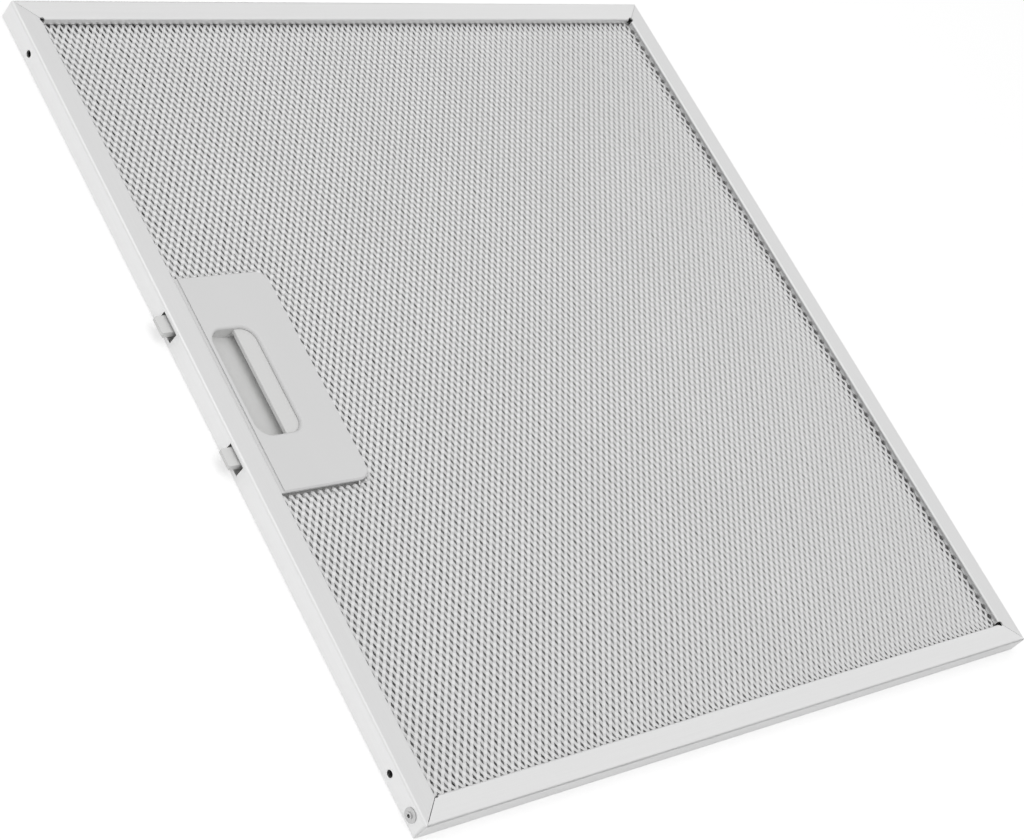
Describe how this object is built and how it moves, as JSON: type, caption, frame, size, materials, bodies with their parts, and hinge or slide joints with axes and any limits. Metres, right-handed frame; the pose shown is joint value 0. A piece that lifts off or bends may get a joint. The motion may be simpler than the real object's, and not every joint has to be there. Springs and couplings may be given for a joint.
{
  "type": "cooker hood grease filter",
  "caption": "Flat near-square aluminium grease filter: folded rivet-closed frame, stacked expanded mesh, and a finger pull that draws sprung latch tongues in.",
  "frame": {"origin": "on the back face, under the middle of the whole part with the latch tongues out", "axes": "+Z out of the front face, +X from the latch side to the far side, +Y along the latch side"},
  "size_m": [0.3038, 0.305, 0.008],
  "materials": {
    "frame_aluminium": "fine brushed",
    "rivet_aluminium": "satin",
    "mesh_aluminium": "bright expanded",
    "grey_plastic": "fine matt",
    "latch_plastic": "fine matt",
    "spring_steel": "bright"
  },
  "bodies": {
    "filter": {"frame": "frame_aluminium", "corner_rivet": "rivet_aluminium", "front_mesh": "mesh_aluminium", "upper_inner_mesh": "mesh_aluminium", "lower_inner_mesh": "mesh_aluminium", "back_mesh": "mesh_aluminium", "handle_cover": "grey_plastic", "latch_housing": "grey_plastic", "latch_spring": "spring_steel"},
    "latch": {"latch_slide": "latch_plastic"}
  },
  "joints": [
    {"name": "latch_travel", "type": "slide", "parent": "filter", "child": "latch", "axis": [1, 0, 0], "range_m": [0, 0.004], "stiffness_N_per_m": 500, "springref_m": -0.006, "deforming": ["latch_spring"]}
  ]
}
